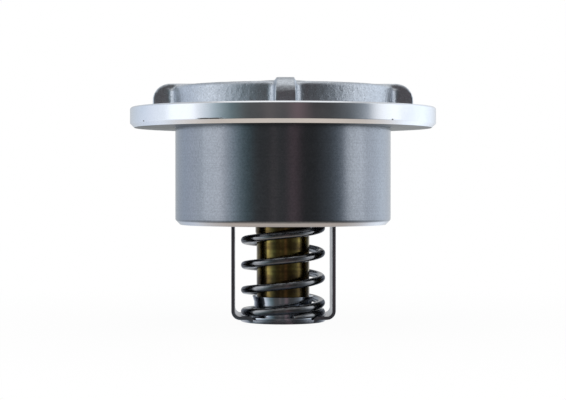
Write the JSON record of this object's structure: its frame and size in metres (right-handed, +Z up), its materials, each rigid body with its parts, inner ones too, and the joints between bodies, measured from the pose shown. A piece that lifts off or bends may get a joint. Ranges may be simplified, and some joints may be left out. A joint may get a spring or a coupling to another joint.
{
  "type": "engine thermostat",
  "caption": "Insert thermostat with a clamping flange, a spider, a turned ring slide that opens downwards, a wax element, a stirrup and a return spring.",
  "frame": {"origin": "centre of the stirrup's round base, on its underside, which is the lowest point", "axes": "+Z up along the valve's axis, from the wax element towards the spider; +X to the right leg of the stirrup"},
  "size_m": [0.09, 0.09, 0.0708],
  "materials": {
    "cast_aluminium": "rough cast where raw, fine turned where machined",
    "sleeve_steel": "fine turned, satin",
    "bright_steel": "polished",
    "strap_steel": "rolled sheet, satin",
    "spring_steel": "drawn wire, oiled",
    "brass": "drawn and turned, slightly tarnished",
    "seal_rubber": "moulded matt",
    "white_plastic": "matt",
    "wax": "waxy matt"
  },
  "bodies": {
    "housing": {"housing_casting": "cast_aluminium", "seat_seal": "seal_rubber", "calibration_plug": "bright_steel", "working_pin": "bright_steel", "backup_washer": "white_plastic", "rubber_plunger": "seal_rubber", "stirrup": "strap_steel", "guide_bush": "bright_steel", "left_rivet": "strap_steel", "right_rivet": "strap_steel", "return_spring": "spring_steel"},
    "slide": {"slide_sleeve": "sleeve_steel", "slide_web": "cast_aluminium", "web_snap_ring": "spring_steel", "spring_cup": "strap_steel", "element_can": "brass", "element_guide": "brass", "pin_wiper": "seal_rubber", "diaphragm": "seal_rubber", "wax_charge": "wax"}
  },
  "joints": [
    {"name": "valve_opening", "type": "slide", "parent": "housing", "child": "slide", "axis": [0, 0, -1], "range_m": [0, 0.009], "stiffness_N_per_m": 6500, "springref_m": -0.01, "deforming": ["return_spring"]}
  ]
}
